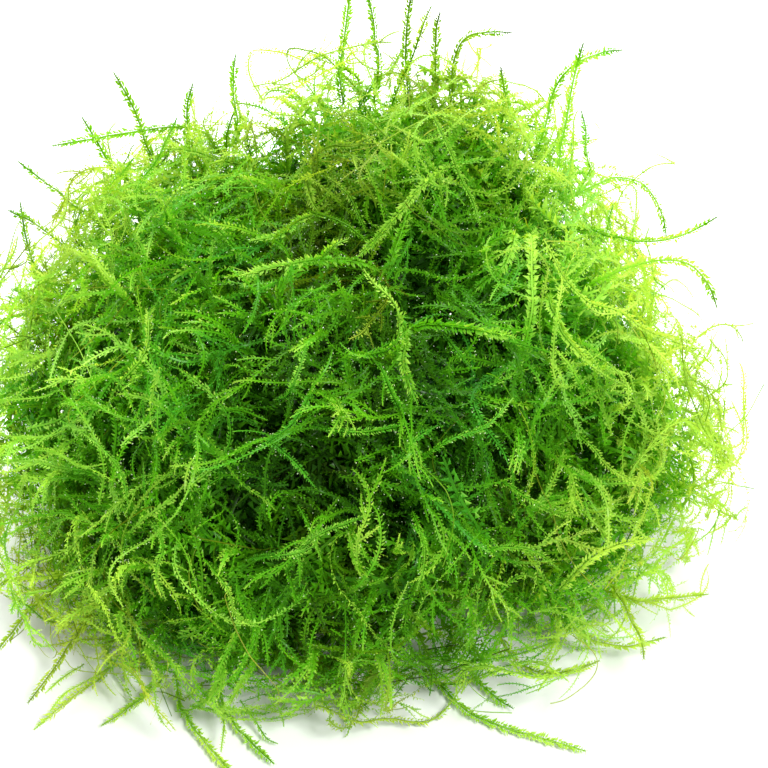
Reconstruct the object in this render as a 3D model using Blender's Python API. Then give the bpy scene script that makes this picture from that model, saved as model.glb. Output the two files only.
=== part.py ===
"""A loose clump of java moss that lies on a flat surface, in metres with +Z up.

moss_mat is the dense tangle, flat where it rests. Every other object is one leafy shoot that stands out of
the tangle, lies over it or trails beside it: a thin stem with a row of small pointed leaves on each side.

The shoots on the side that is seen are set out on a picture plane. It faces someone who looks from in front
(along +Y) and VIEW_TILT above the horizon, and a point on it is (across, up) in millimetres from its middle.
Lengths are in millimetres up to the last step, which scales the finished meshes to metres."""

import math
import random

import bmesh
import bpy
from mathutils import Matrix, Vector
from mathutils.bvhtree import BVHTree

MM = 0.001
TINY = 1e-9
GAP = 0.3

# The picture plane.
VIEW_TILT = math.radians(40)
PICTURE_MIDDLE = Vector((0, 0, 26))
ACROSS = Vector((1, 0, 0))
UP_THE_PICTURE = Vector((0, math.sin(VIEW_TILT), math.cos(VIEW_TILT)))
TOWARDS_VIEWER = Vector((0, -math.cos(VIEW_TILT), math.sin(VIEW_TILT)))
FAR = 200

# One shoot: half widths at a pair of leaf tips and between two pairs, and the pitch of the pairs.
LEAF_REACH = 1.05
STEM_REACH = 0.5
LEAF_HALF_THICKNESS = 0.32
STEM_HALF_THICKNESS = 0.42
THINNEST_SHARE = 0.4
LEAF_PITCH = 2.0
LEAF_SWEEP = 0.72
ROOT_SHARE = 0.45
ROOT_TAPER = 3.0
TIP_TAPER = 4.0
TIP_ROUNDNESS = 0.6
FEWEST_PAIRS = 3

# The line of a shoot: its steps, how finely its curve is read, and how it is laid clear of what is there.
ROUTE_STEP = 0.5
CURVE_STEPS = 20
FEWEST_STEPS = 4
FLOOR_HEIGHT = 1.2
CLEARING_TURNS = 40
LIFT_SHARE = 0.5
FACING_TURNS = 60
SIDE_MEMORY = 1.5
FOLD_SPAN = 3
SHARPEST_TURN = math.radians(70)
SEARCH_STEP = 0.5

# The tangle: lumps, each with its middle and its half sizes.
LUMPS = (
    ((-6, 2, 24), (43, 42, 29)),
    ((3, 18, 40), (26, 22, 20)),
    ((26, -6, 21), (19, 22, 17)),
    ((-35, 1, 21), (22, 29, 19)),
    ((-24, 21, 32), (20, 20, 15)),
    ((-12, -29, 12), (28, 15, 13)),
    ((19, -21, 15), (18, 14, 12)),
    ((-34, -18, 13), (17, 16, 13)),
    ((12, 30, 20), (24, 13, 19)),
    ((-20, 28, 17), (22, 13, 16)),
    ((26, 17, 18), (13, 15, 13)),
    ((-7, -13, 42), (15, 12, 11)),
    ((20, -8, 41), (13, 12, 11)),
    ((-31, -9, 33), (13, 12, 9)),
    ((32, -14, 24), (12, 12, 10)),
    ((2, -32, 26), (15, 11, 10)),
    ((-22, -33, 22), (13, 10, 9)),
)
TANGLE_MIDDLE = Vector((-2, 3, 18))
LUMP_RINGS = 4

# Dark hollows between the shoots of the tangle: its place on the picture, half width and depth of each.
HOLLOWS = (
    ((8, 12), 7.0, 5.5),
    ((-9, 1), 5.0, 4.0),
    ((-3.5, -9), 4.5, 3.5),
    ((-24, 5), 4.5, 3.5),
    ((-39, -12), 4.5, 3.5),
    ((-14.5, -25), 5.0, 4.5),
    ((-30, -27.5), 4.5, 3.5),
    ((22, -7), 4.5, 3.5),
    ((15, -20), 4.5, 3.5),
    ((-18, 33), 5.0, 4.0),
)

# Locks: thick strands of the tangle that lie over the lumps, run down them and are grown together with them.
# Each one starts at an azimuth and an elevation in degrees, and runs down and sideways over its span.
LOCKS = 64
LOCK_POINTS = 9
LOCK_RADIUS = (1.3, 2.1)
LOCK_THIN_SHARE = 0.35
LOCK_SUNK_SHARE = 0.45
LOCK_TURN = 360 * 0.618
LOCK_JITTER = 8
LOCK_ELEVATION = (5, 80)
LOCK_LOWEST = -4
LOCK_SPAN = (14, 30)
LOCK_FALL = 1.6
LOCK_BEND = 5
LOCK_STEP = 2.2
LOCK_SIDES = 6
LOCK_SEED = 5

SKIN_VOXEL = 1.15
BUMP_SIZE = 5.5
BUMP_HEIGHT = 4.5
TANGLE_TRIANGLES = 2400

# Tufts: pointed bunches of shoot tips that stick out of the tangle and bend over, grown out of its faces.
# Each ring of a tuft is at a share of its length, with a share of its foot's width, and leans over further.
TUFTS = 130
TUFT_LENGTH = (5, 10)
TUFT_RINGS = ((0.35, 0.55, 0.4), (0.72, 0.32, 0.9))
TUFT_TIP_LEAN = 1.5
TUFT_DROOP = 0.6
TUFT_SPREAD = 0.8
TUFT_LOWEST = 0.6
TUFT_ACROSS = (-60, 48)
TUFT_CLEARANCE = 0.6
TUFT_FACE_AREA = (2, 11)
TUFT_HALF_WIDTH = 0.6
TUFT_LEAST_RISE = 0.35
TUFT_SEED = 3

# Shoots that are seen: name, lean towards the viewer for each millimetre of length, points on the picture.
SEEN_SHOOTS = (
    ("crest_wisp_1", 0.0, ((-6, 43), (-5.5, 49), (-4.5, 57))),
    ("crest_wisp_2", 0.1, ((-1, 43), (-1, 49), (-2.5, 56))),
    ("crest_wisp_3", 0.2, ((3.5, 42.5), (3, 50), (4, 55.5))),
    ("crest_wisp_4", 0.3, ((7, 41), (7, 47), (7.8, 51.5))),
    ("crest_arch", 0.2, ((9.5, 40.5), (8.8, 46), (12, 49.4), (17.8, 48.8))),
    ("crest_tip", 0.2, ((16.5, 37), (17, 40.5), (16.2, 44))),
    ("upper_left_band", 0.0, ((-25, 35), (-32, 36.5), (-39, 35.5), (-47.5, 34))),
    ("upper_left_tip_1", 0.2, ((-39, 31), (-40.5, 33.5), (-43.5, 38.5))),
    ("upper_left_tip_2", 0.1, ((-34, 34), (-35.5, 39), (-39, 45))),
    ("upper_left_tip_3", 0.0, ((-21, 38), (-22, 43), (-21.5, 48))),
    ("upper_left_tip_4", 0.3, ((-28, 33), (-29, 38), (-27, 42.5))),
    ("left_tip_1", 0.3, ((-34, 27), (-31.5, 32), (-28.6, 37))),
    ("left_tip_2", 0.3, ((-39, 24), (-37.5, 28), (-35, 31.5))),
    ("left_tip_3", 0.2, ((-50, 16), (-51.5, 21), (-52, 26))),
    ("left_tip_4", 0.2, ((-43, 20), (-43.5, 25), (-45, 29))),
    ("draped_shoot_1", 0.3, ((-7.6, 40), (-11, 36), (-13.2, 30.7))),
    ("draped_shoot_2", 0.2, ((-11, 30), (-12, 25), (-10.4, 20))),
    ("draped_shoot_3", 0.4, ((4, 27), (2.6, 21), (0, 15), (-1.5, 12.5))),
    ("draped_shoot_4", 0.3, ((0.5, 14), (-5, 11.5), (-14, 9))),
    ("draped_shoot_5", 0.3, ((12.5, 18), (17, 16), (18.5, 12), (16, 8))),
    ("draped_shoot_6", 0.3, ((3.5, 6.2), (10, 7.4), (17, 6))),
    ("draped_shoot_7", 0.3, ((20, 21), (19.5, 12), (17.5, 1.5))),
    ("draped_shoot_8", 0.3, ((21.5, 11), (22.5, 5), (27, 2.5))),
    ("right_fan_1", 0.2, ((23, 28), (25, 35), (25.4, 40), (27.2, 46.5))),
    ("right_fan_2", 0.2, ((22, 34), (23.6, 42), (27.5, 45.4), (33, 46))),
    ("right_fan_3", 0.1, ((30.5, 29), (29.5, 34), (27.5, 38))),
    ("right_arc_1", 0.1, ((28, 27), (34, 29.5), (38, 27), (39.3, 20))),
    ("right_arc_2", 0.2, ((28.5, 21), (35, 19.5), (41, 20), (46, 23))),
    ("right_arc_3", 0.1, ((30, 15), (37, 16.8), (42, 16), (44, 10))),
    ("right_loop_1", 0.1, ((36, 6.5), (43, 5), (47, 1), (46.3, -5))),
    ("right_loop_2", 0.3, ((37, 0), (42, 2), (44.5, -0.5), (43, -5))),
    ("right_hair", 0.2, ((45, -8), (48.5, -5), (50.8, -3.5), (51.5, 0))),
    ("right_stem", 0.0, ((37.5, -14.5), (43, -12.8), (49.5, -14))),
    ("lower_right_1", 0.1, ((33, -26), (37, -28.8), (43.5, -28.2))),
    ("lower_right_2", 0.1, ((32, -29), (34.5, -32.5), (35, -37))),
    ("lower_right_3", 0.1, ((27, -34.5), (32, -36.5), (38.5, -34.6))),
    ("lower_right_4", 0.1, ((17.5, -38), (23, -40.5), (29.5, -37.8))),
    ("lower_left_1", 0.0, ((-44, -25), (-48, -28), (-54, -27.5))),
    ("lower_left_2", 0.0, ((-45.5, -28.5), (-49, -31.5), (-52.5, -36.5))),
    ("lower_left_3", 0.0, ((-41, -33.5), (-44, -38), (-48, -43))),
)

# Shoots that lie on the surface in front: name and points on the picture.
SURFACE_SHOOTS = (
    ("front_strand_1", ((7, -40.5), (11, -44.5), (18, -46.8), (27, -49))),
    ("front_strand_2", ((12.5, -40.5), (14.5, -42.5), (17.5, -44))),
    ("front_tuft_1", ((-28, -43.5), (-24, -48), (-19.5, -52))),
    ("front_tuft_2", ((-22, -44), (-18.5, -47.5), (-14.5, -50.5))),
    ("front_tuft_3", ((-32, -42), (-35, -44.5), (-38, -46))),
    ("front_strand_3", ((-38, -40), (-42, -42.5), (-47, -46.5))),
)

# Shoots round the back, where nothing is seen: how many, and the ranges that they are drawn from.
# Each one leaves the tangle by BACK_OUT and bends over by BACK_OVER, with a random part along each axis.
BACK_SHOOTS = 11
BACK_AZIMUTH = (8, 172)
BACK_JITTER = 5
BACK_ELEVATION = (8, 58)
BACK_LENGTH = (8, 14)
BACK_OUT = 0.7
BACK_STRAY = ((-1, 1), (-0.4, 0.6), (-0.2, 0.9))
BACK_OVER = ((-0.6, 0.6), (0.3, 0.3), (-0.5, -0.5))
BACK_SEED = 11

# Colours by the first word of a piece's name: deep green for the tangle, yellower where light shines through.
BRIGHT = (0.21, 0.47, 0.02, 1)
MIDDLE = (0.07, 0.26, 0.015, 1)
DEEP = (0.03, 0.12, 0.012, 1)
OLIVE = (0.17, 0.26, 0.03, 1)
COLOURS = {
    "moss": DEEP,
    "crest": BRIGHT,
    "upper": BRIGHT,
    "left": MIDDLE,
    "draped": MIDDLE,
    "right": BRIGHT,
    "lower": OLIVE,
    "front": BRIGHT,
    "back": MIDDLE,
}


def clear_the_scene():
    for obj in list(bpy.data.objects):
        bpy.data.objects.remove(obj, do_unlink=True)


def leafy_material(name, colour):
    """A damp leaf: green, half glossy and not metallic."""
    material = bpy.data.materials.new(name)
    material.use_nodes = True
    shader = material.node_tree.nodes["Principled BSDF"]
    shader.inputs["Base Color"].default_value = colour
    shader.inputs["Roughness"].default_value = 0.45
    shader.inputs["Metallic"].default_value = 0
    return material


def new_object(name, mesh):
    obj = bpy.data.objects.new(name, mesh)
    bpy.context.scene.collection.objects.link(obj)
    mesh.materials.clear()
    mesh.materials.append(leafy_material(name + "_leaf", COLOURS[name.split("_")[0]]))
    return obj


def on_picture(across, up, towards=0.0):
    """The point that is seen at (across, up), at this distance in front of the picture plane."""
    return PICTURE_MIDDLE + ACROSS * across + UP_THE_PICTURE * up + TOWARDS_VIEWER * towards


def smooth_route(points, step=ROUTE_STEP):
    """Evenly spaced points on a Catmull-Rom curve through the given ones."""
    ends = [points[0] * 2 - points[1], *points, points[-1] * 2 - points[-2]]
    dense = []
    for a, b, c, d in zip(ends, ends[1:], ends[2:], ends[3:]):
        straight = (c - a) / 2
        square = (a * 2 - b * 5 + c * 4 - d) / 2
        cube = (b * 3 - a - c * 3 + d) / 2
        for i in range(CURVE_STEPS):
            t = i / CURVE_STEPS
            dense.append(b + straight * t + square * t**2 + cube * t**3)
    dense.append(points[-1])
    return spaced(dense, step)


def spaced(dense, step):
    """Points at equal distances along a polyline, about step apart, both ends included."""
    along = [0.0]
    for a, b in zip(dense, dense[1:]):
        along.append(along[-1] + (b - a).length)
    count = max(FEWEST_STEPS, round(along[-1] / step))
    route, at = [], 0
    for i in range(count + 1):
        want = along[-1] * i / count
        while at < len(along) - 2 and along[at + 1] < want:
            at += 1
        share = (want - along[at]) / max(along[at + 1] - along[at], TINY)
        route.append(dense[at].lerp(dense[at + 1], min(max(share, 0), 1)))
    return route


def drawn_vector(draw, ranges):
    """A vector with each part drawn from its own range."""
    return Vector([draw.uniform(*limits) for limits in ranges])


def tree_of(mesh):
    return BVHTree.FromPolygons([v.co for v in mesh.vertices], [p.vertices for p in mesh.polygons])


def evaluated_mesh(obj):
    """The mesh that the object's modifiers make."""
    bpy.context.view_layer.update()
    graph = bpy.context.evaluated_depsgraph_get()
    return bpy.data.meshes.new_from_object(obj.evaluated_get(graph))


def skin_over(name, build, voxel):
    """One closed skin over the overlapping shapes that build adds to a mesh."""
    shapes = bmesh.new()
    build(shapes)
    mesh = bpy.data.meshes.new(name)
    shapes.to_mesh(mesh)
    shapes.free()
    obj = bpy.data.objects.new(name, mesh)
    bpy.context.scene.collection.objects.link(obj)
    skin = obj.modifiers.new("skin", "REMESH")
    skin.mode = "VOXEL"
    skin.voxel_size = voxel
    skinned = evaluated_mesh(obj)
    bpy.data.objects.remove(obj, do_unlink=True)
    return skinned


def add_lumps(shapes):
    for middle, half in LUMPS:
        place = Matrix.Translation(middle) @ Matrix.Diagonal((*half, 1))
        bmesh.ops.create_icosphere(shapes, subdivisions=LUMP_RINGS, radius=1, matrix=place)


def from_outside(tree, azimuth, elevation):
    """Where a line from this direction, in degrees, to the tangle's middle meets it, and the normal."""
    turn, rise = math.radians(azimuth), math.radians(elevation)
    away = Vector((math.cos(turn) * math.cos(rise), math.sin(turn) * math.cos(rise), math.sin(rise)))
    place, normal, _, _ = tree.ray_cast(TANGLE_MIDDLE + away * FAR, -away)
    return place, normal


def add_tube(shapes, route, radii, sides):
    """A closed tube along a route."""
    rings = []
    for i, (point, radius) in enumerate(zip(route, radii)):
        along = (route[min(i + 1, len(route) - 1)] - route[max(i - 1, 0)]).normalized()
        side = along.orthogonal().normalized()
        other = along.cross(side)
        ring = []
        for k in range(sides):
            angle = math.tau * k / sides
            ring.append(shapes.verts.new(point + (side * math.cos(angle) + other * math.sin(angle)) * radius))
        rings.append(ring)
    for low, high in zip(rings, rings[1:]):
        for k in range(sides):
            shapes.faces.new((low[k], low[(k + 1) % sides], high[(k + 1) % sides], high[k]))
    shapes.faces.new(rings[0][::-1])
    shapes.faces.new(rings[-1])


def add_locks(shapes, tree):
    """Strands that start high on the lumps and run down over them, half sunk in."""
    draw = random.Random(LOCK_SEED)
    for i in range(LOCKS):
        azimuth = LOCK_TURN * i + draw.uniform(-LOCK_JITTER, LOCK_JITTER)
        elevation = draw.uniform(*LOCK_ELEVATION)
        drift = draw.uniform(-1, 1)
        span = draw.uniform(*LOCK_SPAN)
        radius = draw.uniform(*LOCK_RADIUS)
        places = []
        for k in range(LOCK_POINTS):
            t = k / (LOCK_POINTS - 1)
            bend = math.sin(math.pi * t) * LOCK_BEND * drift
            lower = max(elevation - span * LOCK_FALL * t, LOCK_LOWEST)
            place, normal = from_outside(tree, azimuth + span * drift * t + bend, lower)
            places.append(place + normal * radius * LOCK_SUNK_SHARE)
        route = smooth_route(places, LOCK_STEP)
        radii = [radius * lock_share((k + 1) / (len(route) + 1)) for k in range(len(route))]
        add_tube(shapes, route, radii, LOCK_SIDES)


def lock_share(run):
    """How thick a lock is at this share of its length, against its thickest place."""
    return LOCK_THIN_SHARE + (1 - LOCK_THIN_SHARE) * math.sin(math.pi * run)


def press_hollows(mesh, tree):
    """Presses the hollows that are seen into the tangle, away from the viewer."""
    for (across, up), half_width, depth in HOLLOWS:
        middle, _, _, _ = tree.ray_cast(on_picture(across, up, FAR), -TOWARDS_VIEWER)
        for corner in mesh.vertices:
            share = 1 - ((corner.co - middle).length / half_width) ** 2
            if share > 0:
                corner.co -= TOWARDS_VIEWER * depth * share**2


def moss_mat():
    """The dense tangle: lumps and locks under one skin, with few faces, cut flat where it lies."""
    lumps = skin_over("lumps", add_lumps, SKIN_VOXEL)
    tree = tree_of(lumps)

    def add_all(shapes):
        shapes.from_mesh(lumps)
        add_locks(shapes, tree)

    skin = skin_over("tangle", add_all, SKIN_VOXEL)
    press_hollows(skin, tree)
    obj = new_object("moss_mat", skin)
    clouds = bpy.data.textures.new("bumps", "CLOUDS")
    clouds.noise_scale = BUMP_SIZE
    bumps = obj.modifiers.new("bumps", "DISPLACE")
    bumps.texture = clouds
    bumps.strength = BUMP_HEIGHT
    fewer = obj.modifiers.new("fewer_faces", "DECIMATE")
    fewer.ratio = TANGLE_TRIANGLES / sum(len(p.vertices) - 2 for p in skin.polygons)
    above = bpy.data.objects.new("above_the_surface", bpy.data.meshes.new("above_the_surface"))
    bpy.context.scene.collection.objects.link(above)
    box = bmesh.new()
    bmesh.ops.create_cube(box, size=2 * FAR, matrix=Matrix.Translation((0, 0, FAR)))
    box.to_mesh(above.data)
    box.free()
    flat = obj.modifiers.new("flat_where_it_lies", "BOOLEAN")
    flat.operation = "INTERSECT"
    flat.object = above
    obj.data = evaluated_mesh(obj)
    obj.modifiers.clear()
    bpy.data.objects.remove(above, do_unlink=True)
    return obj


def reach_at(along, length):
    """Half the width of a shoot at this distance from its root: narrow at both ends."""
    root = ROOT_SHARE + (1 - ROOT_SHARE) * min(along / ROOT_TAPER, 1)
    tip = min(max(length - along, 0) / TIP_TAPER, 1) ** TIP_ROUNDNESS
    return LEAF_REACH * root * tip


def smoothed(values):
    """Each vector of a row, averaged with its two neighbours. The ends stay."""
    middle = [(a + b * 2 + c) / 4 for a, b, c in zip(values, values[1:], values[2:])]
    return [values[0], *middle, values[-1]]


def kept_clear(route, tree, placed):
    """Moves a route out of the tangle and off the shoots placed before it, and keeps it smooth."""
    length = ROUTE_STEP * (len(route) - 1)
    room = [max(reach_at(ROUTE_STEP * i, length), STEM_HALF_THICKNESS) + GAP for i in range(len(route))]
    for _ in range(CLEARING_TURNS):
        for i, point in enumerate(route):
            near, normal, _, _ = tree.find_nearest(point)
            if (point - near).dot(normal) < room[i]:
                point = near + normal * room[i]
            for other, width in placed:
                apart = point - other
                short = room[i] + width - apart.length
                if short > 0:
                    point = point + (apart.normalized() + normal * LIFT_SHARE).normalized() * short
            route[i] = point
        route = smoothed(smoothed(route))
        for i, point in enumerate(route):
            point.z = max(point.z, room[i])
    return without_folds(route)


def without_folds(route):
    """The longest part of a route that doesn't double back on itself."""
    parts = [[]]
    for i, point in enumerate(route):
        before = point - route[max(i - FOLD_SPAN, 0)]
        after = route[min(i + FOLD_SPAN, len(route) - 1)] - point
        parts[-1].append(point)
        if before.length > TINY and after.length > TINY and before.angle(after) > SHARPEST_TURN:
            parts.append([])
    return max(parts, key=len)


def shoot(name, route, faces):
    """One leafy shoot along a route: a flat blade with teeth that point to its tip.

    faces is the way that its flat side looks at each point."""
    along, rings = [0.0], []
    for a, b in zip(route, route[1:]):
        along.append(along[-1] + (b - a).length)
    length = along[-1]
    pairs = max(FEWEST_PAIRS, round(length / LEAF_PITCH))
    pitch = length / pairs
    stations = []
    for k in range(pairs):
        stations.append((pitch * k, False))
        stations.append((pitch * (k + LEAF_SWEEP), True))
    bevels = ((1, 0), (0, 1), (-1, 0), (0, -1))
    blade = bmesh.new()
    side = Vector((0, 0, 0))
    for at, leaf in stations[:-1]:
        i = max(k for k, value in enumerate(along) if value <= at + TINY)
        i = min(i, len(route) - 2)
        point = route[i].lerp(route[i + 1], (at - along[i]) / max(along[i + 1] - along[i], TINY))
        heading = (route[min(i + 2, len(route) - 1)] - route[max(i - 1, 0)]).normalized()
        side = heading.cross(faces[i]) + side * SIDE_MEMORY
        side = (side - heading * side.dot(heading)).normalized()
        flat = side.cross(heading)
        reach = reach_at(at, length)
        wide = reach if leaf else reach * STEM_REACH / LEAF_REACH
        thick = LEAF_HALF_THICKNESS if leaf else STEM_HALF_THICKNESS
        thick *= max(reach / LEAF_REACH, THINNEST_SHARE)
        rings.append([blade.verts.new(point + side * wide * x + flat * thick * y) for x, y in bevels])
    tip = blade.verts.new(route[-1])
    for low, high in zip(rings, rings[1:]):
        for k in range(4):
            blade.faces.new((low[k], low[(k + 1) % 4], high[(k + 1) % 4], high[k]))
    for k in range(4):
        blade.faces.new((rings[-1][k], rings[-1][(k + 1) % 4], tip))
    blade.faces.new(rings[0][::-1])
    bmesh.ops.recalc_face_normals(blade, faces=blade.faces)
    mesh = bpy.data.meshes.new(name)
    blade.to_mesh(mesh)
    blade.free()
    return new_object(name, mesh)


def clear_of(samples, others, spare):
    """Whether no ball of the one list comes closer than the spare distance to a ball of the other list."""
    pairs = [(*one, *other) for one in samples for other in others]
    return all((point - other).length > width + room + spare for point, width, other, room in pairs)


def tuft_samples(foot, bends, tip, width):
    """Points along a tuft, each with the tuft's half width there."""
    samples = [(foot, width)]
    for (place, share), (_, last) in zip(bends + [(tip, 0)], [(foot, 1)] + bends):
        samples += [(samples[-1][0].lerp(place, 0.5), width * (share + last) / 2), (place, width * share)]
    return samples


def grow_tufts(obj, tree, placed):
    """Draws pointed tufts out of single faces of the tangle, clear of the shoots and of each other."""
    draw = random.Random(TUFT_SEED)
    tangle = bmesh.new()
    tangle.from_mesh(obj.data)
    least, most = TUFT_FACE_AREA
    faces = [face for face in tangle.faces if len(face.verts) == 3 and least < face.calc_area() < most]
    draw.shuffle(faces)
    grown, count = [], 0
    for face in faces:
        foot, normal = face.calc_center_median(), face.normal.copy()
        width = math.sqrt(face.calc_area()) * TUFT_HALF_WIDTH
        down = Vector((0, 0, -1))
        stray = drawn_vector(draw, [(-1, 1)] * 3)
        length = draw.uniform(*TUFT_LENGTH)
        lean = down * TUFT_DROOP + stray * TUFT_SPREAD
        lean -= normal * normal.dot(lean)
        bends = []
        for at, thin, over in TUFT_RINGS:
            bends.append((foot + (normal + lean * over).normalized() * length * at, thin))
        tip = foot + (normal + lean * TUFT_TIP_LEAN).normalized() * length
        near, near_normal, _, _ = tree.find_nearest(tip)
        samples = tuft_samples(foot, bends, tip, width)
        if count == TUFTS or min(place.z - room for place, room in samples) < TUFT_LOWEST:
            continue
        if not TUFT_ACROSS[0] < tip.x < TUFT_ACROSS[1]:
            continue
        if (tip - near).dot(near_normal) < length * TUFT_LEAST_RISE:
            continue
        if not clear_of(samples, placed, TUFT_CLEARANCE) or not clear_of(samples, grown, 0):
            continue
        grown += samples
        count += 1
        top = face
        corners = [corner.co - foot for corner in face.verts]
        for place, share in bends:
            top = bmesh.ops.extrude_discrete_faces(tangle, faces=[top])["faces"][0]
            for corner, offset in zip(top.verts, corners):
                corner.co = place + offset * share
        bmesh.ops.poke(tangle, faces=[top])["verts"][0].co = tip
    tangle.to_mesh(obj.data)
    tangle.free()


def facing(route, tree, looks):
    """The way that a shoot's flat side looks at each point: between out of the tangle and the given way."""
    ways = []
    for point in route:
        near, normal, _, _ = tree.find_nearest(point)
        ways.append((normal + looks).normalized())
    for _ in range(FACING_TURNS):
        ways = smoothed(ways)
    return ways


def remember(placed, route):
    length = ROUTE_STEP * (len(route) - 1)
    for i, point in enumerate(route):
        placed.append((point.copy(), reach_at(ROUTE_STEP * i, length)))


def seen_route(lean, points, tree, placed):
    """A shoot that starts where the picture's first point falls on the tangle."""
    inwards = -Vector((*points[0], 0)).normalized()
    start = Vector((*points[0], 0))
    hit = None
    while hit is None:
        hit, _, _, _ = tree.ray_cast(on_picture(start.x, start.y, FAR), -TOWARDS_VIEWER)
        start += inwards * SEARCH_STEP
    towards = (hit - PICTURE_MIDDLE).dot(TOWARDS_VIEWER)
    places, run, last = [], 0.0, points[0]
    for across, up in points:
        run += math.hypot(across - last[0], up - last[1])
        places.append(on_picture(across, up, towards + lean * run))
        last = (across, up)
    route = kept_clear(smooth_route(places), tree, placed)
    return route, facing(route, tree, TOWARDS_VIEWER)


def surface_route(points, tree, placed):
    """A shoot that lies on the surface where the picture shows it."""
    places = []
    for across, up in points:
        eye = on_picture(across, up)
        places.append(eye + TOWARDS_VIEWER * ((FLOOR_HEIGHT - eye.z) / TOWARDS_VIEWER.z))
    route = kept_clear(smooth_route(places), tree, placed)
    return route, [Vector((0, 0, 1))] * len(route)


def back_route(share, draw, tree, placed):
    """A shoot that sticks out of the back of the tangle, at this share of the way round it."""
    low, high = BACK_AZIMUTH
    azimuth = low + (high - low) * share + draw.uniform(-BACK_JITTER, BACK_JITTER)
    place, normal = from_outside(tree, azimuth, draw.uniform(*BACK_ELEVATION))
    half = draw.uniform(*BACK_LENGTH) / 2
    out = (normal * BACK_OUT + drawn_vector(draw, BACK_STRAY)).normalized()
    over = (out + drawn_vector(draw, BACK_OVER)).normalized()
    middle = place + out * half
    route = kept_clear(smooth_route([place, middle, middle + over * half]), tree, placed)
    return route, facing(route, tree, normal)


def all_routes(tree, placed):
    """The name, the route and the facing of every shoot. Each one is laid clear of those before it."""
    draw = random.Random(BACK_SEED)
    plans = [(name, seen_route, (lean, points)) for name, lean, points in SEEN_SHOOTS]
    plans += [(name, surface_route, (points,)) for name, points in SURFACE_SHOOTS]
    for i in range(BACK_SHOOTS):
        plans.append((f"back_shoot_{i + 1}", back_route, ((i + 0.5) / BACK_SHOOTS, draw)))
    found = []
    for name, lay, values in plans:
        route, faces = lay(*values, tree, placed)
        remember(placed, route)
        found.append((name, route, faces))
    return found


def stand_on_origin(objects):
    """Puts the middle of the underside of the whole clump's box at the origin, and scales it to metres."""
    corners = [v.co for obj in objects for v in obj.data.vertices]
    low = Vector(min(c[k] for c in corners) for k in range(3))
    high = Vector(max(c[k] for c in corners) for k in range(3))
    shift = Vector((-(low.x + high.x) / 2, -(low.y + high.y) / 2, 0))
    for obj in objects:
        obj.data.transform(Matrix.Scale(MM, 4) @ Matrix.Translation(shift))


def main():
    clear_the_scene()
    mat = moss_mat()
    tree, placed = tree_of(mat.data), []
    routes = all_routes(tree, placed)
    grow_tufts(mat, tree, placed)
    stand_on_origin([mat] + [shoot(*route) for route in routes])


main()
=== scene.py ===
"""The looks of a clump of java moss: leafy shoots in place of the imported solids, on a pale floor.

moss_mat becomes a tangle of many branching shoots that follow its surface at several depths, a bunch of
shoots in each of its tufts, and the strands of the photo that aren't solids of their own. Each other solid
becomes one finely leaved shoot along the same line.
Lengths are in millimetres and places are in the row frame. new_piece turns them into metres."""

import math
from collections import namedtuple

import bpy
import numpy as np
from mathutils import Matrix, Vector
from mathutils.bvhtree import BVHTree


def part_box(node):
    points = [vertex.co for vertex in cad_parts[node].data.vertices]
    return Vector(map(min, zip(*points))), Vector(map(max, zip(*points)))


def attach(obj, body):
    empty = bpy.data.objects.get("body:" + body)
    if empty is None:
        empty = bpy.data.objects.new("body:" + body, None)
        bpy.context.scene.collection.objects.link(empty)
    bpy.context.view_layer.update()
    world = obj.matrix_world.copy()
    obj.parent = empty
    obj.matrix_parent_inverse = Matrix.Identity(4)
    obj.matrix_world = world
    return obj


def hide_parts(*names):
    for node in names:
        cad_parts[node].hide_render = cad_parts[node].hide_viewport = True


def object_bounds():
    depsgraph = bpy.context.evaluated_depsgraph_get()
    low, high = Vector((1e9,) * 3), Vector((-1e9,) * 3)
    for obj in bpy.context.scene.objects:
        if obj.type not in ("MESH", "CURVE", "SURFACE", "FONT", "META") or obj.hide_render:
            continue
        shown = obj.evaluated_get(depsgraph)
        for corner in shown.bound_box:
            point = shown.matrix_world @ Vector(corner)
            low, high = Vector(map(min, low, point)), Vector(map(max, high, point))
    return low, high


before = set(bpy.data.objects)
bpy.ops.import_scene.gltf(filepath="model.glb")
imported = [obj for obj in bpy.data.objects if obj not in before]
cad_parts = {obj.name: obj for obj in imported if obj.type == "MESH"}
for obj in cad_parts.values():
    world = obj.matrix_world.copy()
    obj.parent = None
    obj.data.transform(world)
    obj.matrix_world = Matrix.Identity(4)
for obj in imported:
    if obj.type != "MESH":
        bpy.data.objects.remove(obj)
CAD_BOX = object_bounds()
MM = 0.001
TINY = 1e-9

# The photo's view: what is in its middle, how far above the horizon it is taken from, how far away, and how
# wide the picture is there.
PICTURE_MIDDLE = np.array((4.4, 1.2, 26.0))
VIEW_TILT = math.radians(40)
VIEW_DISTANCE = 420.0
PICTURE_WIDTH = 107.5
PICTURE_PIXELS = 768

ACROSS = np.array((1.0, 0.0, 0.0))
UP_THE_PICTURE = np.array((0.0, math.sin(VIEW_TILT), math.cos(VIEW_TILT)))
TOWARDS_VIEWER = np.array((0.0, -math.cos(VIEW_TILT), math.sin(VIEW_TILT)))

# One leaf of full size: it is widest at WIDEST_AT of its length and is folded along its middle. Its tip
# turns this far towards the tip of the shoot.
LEAF_LENGTH = 0.92
LEAF_WIDTH = 0.42
WIDEST_AT = 0.32
LEAF_FOLD = 0.3
TIP_TURN = 0.25

# How leaves differ: the angles in degrees at which the leaves of a shoot stand off it, how far in radians
# each one strays from that, how far it lifts out of the shoot's plane, and its shares of the full size.
LEAF_ANGLE = (42, 74)
ANGLE_STRAY = 0.32
LIFT_STRAY = 0.45
LEAF_LENGTHS = (0.5, 1.15)
LEAF_WIDTHS = (0.75, 1.1)

# The stem is thinner where its leaves are smaller, down to this share, and has a ridge this much higher.
STEM_RADIUS = 0.12
THINNEST_STEM = 0.5
STEM_RIDGE = 1.4

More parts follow.
